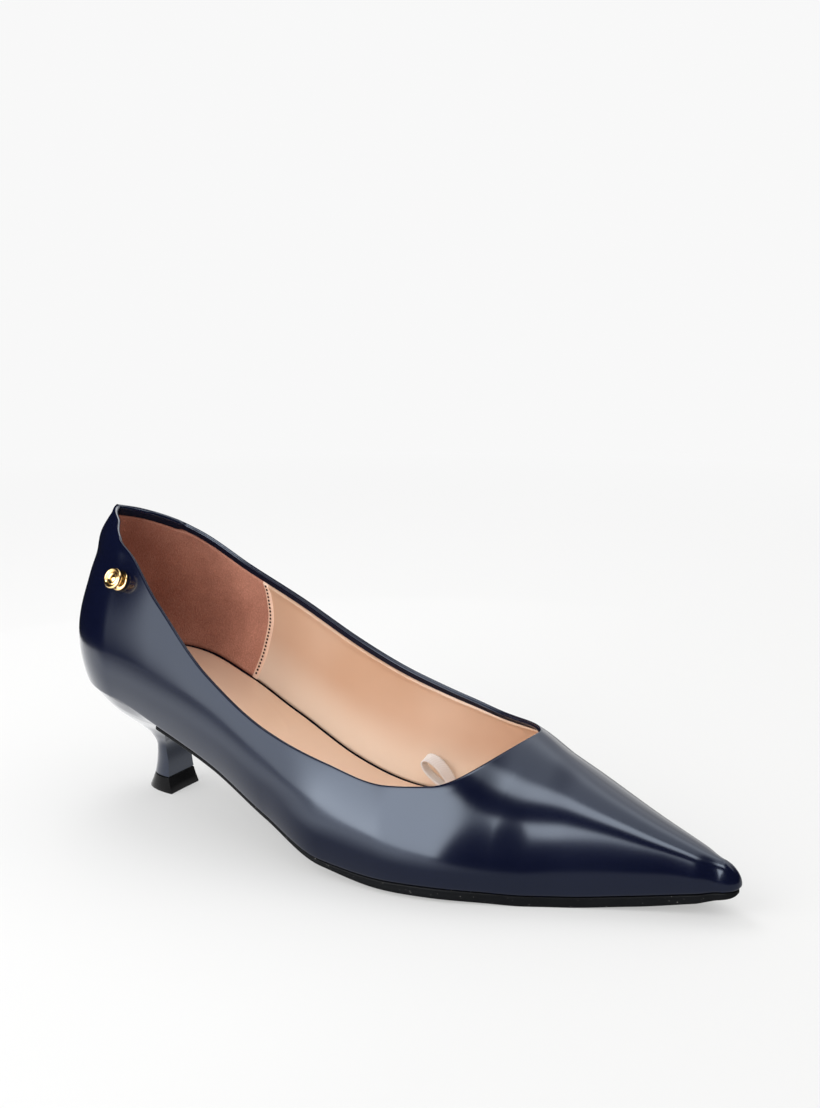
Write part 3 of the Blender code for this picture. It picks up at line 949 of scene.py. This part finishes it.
def make_top_piece(finish):
    """The black top piece, with eased edges."""
    joint = TIP_THICKNESS / (edge_height(BACK) - GAP)
    rings = []
    for share, inset in ((0.0, .35), (.03, .12), (.08, .0), (.5, .0), (.94, .0), (.985, .06), (1.0, .16)):
        ring = heel_ring(joint * share)
        ring = ring - unit(ring - ring.mean(axis=0)) * inset * MM
        if share > 0.9:
            ring[:, 2] = TIP_THICKNESS * share
        rings.append(ring)
    mesh = mesh_of("top_piece", [np.stack(rings)], sharp=45)
    add_piece(mesh, finish, "black_top_piece", "heel_tip")


# Small parts

STUD_PROFILE = table(
    "radius length",
    (.00, .00), (.90, .00), (.97, .05), (.99, .10), (.97, .15), (.90, .20), (.55, .23), (.42, .28),
    (.37, .38), (.37, .50), (.42, .62), (.60, .67), (.88, .69), (.97, .73), (1.00, .80), (1.00, .88),
    (.97, .95), (.90, 1.00), (.83, 1.00), (.77, .96), (.73, .90), (.66, .87), (.60, .89), (.54, .93),
    (.47, .93), (.41, .88), (.34, .86), (.27, .90), (.17, .95), (.08, .97), (.00, .975),
)


def stud_frame():
    """Where the stud stands, and which way it points."""
    share = share_at(STUD_PLACE, OUTER, STUD_HEIGHT * BACK_HEIGHT)
    step = 0.01
    foot = on_rib(STUD_PLACE, OUTER, share)
    beside = on_rib(STUD_PLACE + step, OUTER, share) - foot
    above = on_rib(STUD_PLACE, OUTER, share + step) - foot
    outward = Vector(np.cross(beside, above)).normalized()
    return Vector(foot) + outward * GAP, outward


def make_stud(finish):
    """A turned stud of two discs, with plain rings on its face."""
    foot, outward = stud_frame()
    turns = np.linspace(0, 2 * pi, 65)[:, None]
    radius = np.array([row.radius for row in STUD_PROFILE]) * STUD_RADIUS
    length = np.array([row.length for row in STUD_PROFILE]) * STUD_LENGTH
    grid = np.stack([np.cos(turns) * radius, np.sin(turns) * radius, length + 0 * turns], axis=-1)
    turn = np.array(outward.to_track_quat("Z", "Y").to_matrix())
    add_piece(mesh_of("gold_stud", [grid @ turn.T + np.array(foot)]), finish, "gold", "stud")


RIBBON_FLATNESS = 0.84    # height of the loop against the solid's
RIBBON_NARROWING = 0.22   # of the loop, from its end to its middle
RIBBON_TWIST = 6          # degrees that the tape leans over at its lowest
RIBBON_SWING = 13         # degrees more at its middle height
TAPE_THICKNESS = 0.32     # half of it, against the solid's
SELVAGE = 0.06            # how far it stands proud, in millimetres
WEAVE_ROUND = 14.0        # checks in a radian of the loop
WEAVE_ACROSS = 11         # checks across the tape


def beside_wall(along):
    """A point on the insole, half a ribbon's width from the inner wall."""
    inset = WALL + GAP + 0.6 * MM + RIBBON_WIDTH / 2
    return Vector(place(along, INNER, edge_radius(along, INNER) - inset, insole_top(along)))


def make_ribbon(finish):
    """A woven tape folded into a loop that rises along the inner wall."""
    root = beside_wall(RIBBON_PLACE)
    backward = beside_wall(RIBBON_PLACE - RIBBON_LENGTH / LAST_LENGTH) - root
    backward.z = 0
    backward.normalize()
    lean = radians(RIBBON_LEAN)
    reach_way = backward * cos(lean) + Vector((0, 0, sin(lean)))
    lift_way = Vector((0, 0, cos(lean))) - backward * sin(lean)
    width_way = reach_way.cross(lift_way)
    centre = root + Vector((0, 0, GAP + RIBBON_THICKNESS)) + reach_way * RIBBON_LENGTH / 2
    flat = RIBBON_FLATNESS * RIBBON_HEIGHT
    steps, across = 120, 8
    half = RIBBON_THICKNESS * TAPE_THICKNESS
    outline = [(half, -0.5 + i / across) for i in range(across + 1)]
    outline += [(-half, 0.5 - i / across) for i in range(across + 1)]
    outline.append(outline[0])
    rows = []
    for step in range(steps + 1):
        turn = 2 * pi * step / steps
        narrowed = 1 - RIBBON_NARROWING * (1 - cos(turn))
        lean_over = radians(RIBBON_TWIST + RIBBON_SWING * (1 + sin(turn)))
        across_way = width_way * cos(lean_over) + lift_way * sin(lean_over)
        out_way = reach_way * cos(turn) + lift_way * sin(turn)
        middle = centre + reach_way * cos(turn) * RIBBON_LENGTH / 2
        middle = middle + lift_way * sin(turn) * narrowed * flat / 2
        row = []
        for proud, aside in outline:
            selvage = SELVAGE * MM if abs(aside) > 0.4 else 0.0
            inset = RIBBON_THICKNESS / 2 - copysign(abs(proud) + selvage, proud)
            row.append(middle + across_way * aside * RIBBON_WIDTH - out_way * inset)
        rows.append(row)
    mesh = mesh_of("ribbon", [np.array(rows)])
    uv = mesh.uv_layers.new(name="UVMap")
    for loop in mesh.loops:
        point = mesh.vertices[loop.vertex_index].co - centre
        turn = atan2(point.dot(lift_way) / RIBBON_HEIGHT, point.dot(reach_way) / RIBBON_LENGTH)
        uv.data[loop.index].uv = (turn * WEAVE_ROUND, point.dot(width_way) / RIBBON_WIDTH * WEAVE_ACROSS)
    add_piece(mesh, finish, "white_ribbon", "ribbon_loop")


# Stage, light and camera

PHOTO_HEIGHT = 1108
FOCAL_PIXELS = 1473
SENSOR = 36
CAMERA_PLACE = (0.3415, -0.4087, 0.2038)
CAMERA_AZIMUTH = 30.14
CAMERA_PITCH = 12.33
PALE = 0.94
ROOM_GLOW = 0.94
TABLE_RADIUS = 0.34
TABLE_MIDDLE = 0.10
SHOE_MIDDLE = (0.08, 0.0, 0.05)
ROOM_RADIUS = 6.0


def emitter(name, strength):
    """A material that only glows, white."""
    made, tree, shader = new_material(name)
    tree.nodes.remove(shader)
    show(tree, white_glow(tree, strength))
    return made, tree


def set_glow(tree, strength):
    """Links the strength of a glow and gives its shader."""
    glow = tree.nodes["Emission"]
    tree.links.new(strength, glow.inputs["Strength"])
    return glow.outputs[0]


def floor_material():
    """White paper that glows further out, so that it has no horizon."""
    made, tree, shader = new_material(
        "paper", Base_Color=(0.42, 0.42, 0.42, 1.0), Roughness=0.9, Specular_IOR_Level=0.1,
        Emission_Color=(1.0, 1.0, 0.99, 1.0), Emission_Strength=0.41,
    )
    where = add_node(tree, "NewGeometry").outputs["Position"]
    ends = {0: where, 1: (TABLE_MIDDLE, 0.0, 0.0)}
    reach = add_node(tree, "VectorMath", ends, operation="DISTANCE").outputs["Value"]
    far = span(tree, reach, 0.0, 1.0, 0.25, 0.90)
    shaders = {0: far, 1: shader.outputs[0], 2: white_glow(tree, PALE)}
    show(tree, add_node(tree, "MixShader", shaders).outputs[0])
    return made


def table_glow():
    """What the leather mirrors of the floor, brightest by the heel."""
    made, tree = emitter("table_glow", 1.0)
    x, y, _ = axes(tree, "NewGeometry", "Position")
    heel = span(tree, x, 0.50, 1.50, 0.08, -0.03)
    near = calculate(tree, heel, span(tree, y, 1.0, 0.1, -0.09, -0.15))
    left = span(tree, x, 0.25, 1.0, -0.10, 0.05)
    right = span(tree, x, 2.4, 0.0, 0.12, 0.18)
    far = calculate(tree, span(tree, y, 0.0, 1.0, -0.07, -0.13), calculate(tree, left, right))
    set_glow(tree, calculate(tree, near, far, "ADD"))
    return made


def make_stage():
    """A pale floor, and a pale room that the polished leather doesn't mirror."""
    rings = np.linspace(0, 2 * pi, 97)
    for name, reach, height, finish, hidden in (
        ("floor", ROOM_RADIUS, 0.0, floor_material(), ["glossy"]),
        ("table", TABLE_RADIUS, 0.02, table_glow(), ["camera", "diffuse", "shadow"]),
    ):
        grid = np.array([
            [(radius * cos(turn) + TABLE_MIDDLE, radius * sin(turn), height * MM) for turn in rings]
            for radius in (0.0, reach)
        ])
        ground = add_object(name, mesh_of(name, [grid]))
        ground.data.materials.append(finish)
        hide_from(ground, *hidden)
    bpy.ops.mesh.primitive_uv_sphere_add(segments=64, ring_count=32, radius=ROOM_RADIUS * 0.99)
    room = bpy.context.object
    room.name = "room"
    room.data.materials.append(emitter("room_glow", ROOM_GLOW)[0])
    hide_from(room, "glossy")


def set_up(name, data, spot, looking):
    """An object at a spot that faces along a direction."""
    made = add_object(name, data)
    made.location = spot
    made.rotation_euler = looking.to_track_quat("-Z", "Y").to_euler()
    return made


def add_area_light(name, spot, size, power):
    """A soft panel of light that faces the shoe and isn't mirrored in it."""
    data = bpy.data.lights.new(name, "AREA")
    data.shape = "RECTANGLE"
    data.size, data.size_y = size
    data.energy = power
    hide_from(set_up(name, data, spot, Vector(SHOE_MIDDLE) - Vector(spot)), "glossy")


def card_material(name, strength, fades):
    """A see-through glow that fades towards its edges."""
    made, tree = emitter(name, strength)
    split = axes(tree, "UVMap", "UV")
    level = strength
    for axis, start, fade in zip("XXYY", (0.0, 1.0, 0.0, 1.0), fades):
        ramp = span(
            tree, split[axis], 0.0, 1.0, start, start + fade, interpolation_type="SMOOTHSTEP",
        )
        level = calculate(tree, level, ramp)
    glow = set_glow(tree, level)
    clear = add_node(tree, "BsdfTransparent").outputs[0]
    show(tree, add_node(tree, "AddShader", {0: glow, 1: clear}).outputs[0])
    return made


# Each card faces its aim; slant leans its left and right edges to the right as they rise
CARDS = table(
    "name place aim size strength slant left right lower upper",
    ("side_box", (.122, -.45, .27), (.122, 0, .27), (.484, .60), 7.0, .46, .42, .10, .02, .20),
    ("side_fill", (-.22, -.46, .20), (-.22, 0, .20), (.56, .56), 3.1, .00, .25, .30, .02, .35),
    ("ceiling", (.34, .20, .70), (.34, .20, 0), (.36, .80), 1.9, .00, .35, .35, .15, .30),
    ("streak_box", (.36, -.19, .70), (.36, -.19, 0), (.42, .26), 7.0, .00, .30, .35, .25, .40),
    ("back_wall", (.31, .50, .52), (.18, 0, .03), (1.0, .80), 1.8, .00, .25, .25, .45, .45),
    ("backdrop", (.05, .95, .25), (.05, 0, .25), (.90, .60), 1.1, .00, .10, .10, .02, .40),
    ("inner_box", (-.20, .60, .50), (0, 0, .04), (.50, .30), 3.5, .00, .30, .30, .20, .30),
)


def add_card(card):
    """A panel that only shows in the polished surfaces."""
    width, height = card.size
    grid = np.array([
        [((x - 0.5) * width + (y - 0.5) * height * card.slant, (y - 0.5) * height, 0.0) for y in (0, 1)]
        for x in (0, 1)
    ])
    mesh = mesh_of(card.name, [grid])
    corners = mesh.uv_layers.new(name="UVMap")
    for loop in mesh.loops:
        x, y, _ = mesh.vertices[loop.vertex_index].co
        corners.data[loop.index].uv = ((x - y * card.slant) / width + 0.5, y / height + 0.5)
    fades = (card.left, -card.right, card.lower, -card.upper)
    mesh.materials.append(card_material(card.name + "_glow", card.strength, fades))
    made = set_up(card.name, mesh, card.place, Vector(card.aim) - Vector(card.place))
    hide_from(made, "camera", "diffuse", "shadow")


def make_lights():
    """A dim world, the cards and two soft lights."""
    world = bpy.data.worlds.new("dim_room")
    world.use_nodes = True
    world.node_tree.nodes["Background"].inputs["Color"].default_value = (0.01, 0.01, 0.011, 1.0)
    bpy.context.scene.world = world
    for card in CARDS:
        add_card(card)
    add_area_light("overhead", (-0.32, 0.28, 0.85), (0.4, 0.4), 2.2)
    add_area_light("side", (-0.15, -0.50, 0.42), (0.5, 0.4), 1.6)


def make_camera():
    data = bpy.data.cameras.new("camera")
    data.sensor_width = SENSOR
    data.lens = FOCAL_PIXELS / PHOTO_HEIGHT * SENSOR
    data.clip_start = 0.01
    data.clip_end = 50
    azimuth, pitch = radians(CAMERA_AZIMUTH), radians(CAMERA_PITCH)
    looking = Vector((
        -sin(azimuth) * cos(pitch), cos(azimuth) * cos(pitch), -sin(pitch),
    ))
    bpy.context.scene.camera = set_up("camera", data, CAMERA_PLACE, looking)


def main():
    make_camera()
    make_stage()
    make_lights()
    bpy.context.scene.view_settings.view_transform = "Standard"
    make_upper(navy_leather("navy_leather", 0.165), plain("facing_leather", (0.0022, 0.0032, 0.0120), 0.6))
    make_lining(tan_leather("tan_leather", (0.67, 0.42, 0.275), (0.80, 0.57, 0.42)))
    make_heel_grip(suede())
    make_seam(plain("seam_edge", (0.90, 0.66, 0.52), 0.6), plain("needle_hole_shade", (0.05, 0.02, 0.015), 0.8))
    make_insole(tan_leather("sock_leather", (0.76, 0.51, 0.35), (0.84, 0.62, 0.47)))
    make_outsole(black_rubber("black_sole", (0.0036, 0.0040, 0.0048), 0.45, specks=0.6))
    make_heel(navy_leather("heel_leather", 0.20))
    make_top_piece(black_rubber("black_top_piece", (0.0040, 0.0040, 0.0045), 0.22))
    make_stud(gold())
    make_ribbon(white_ribbon())


main()
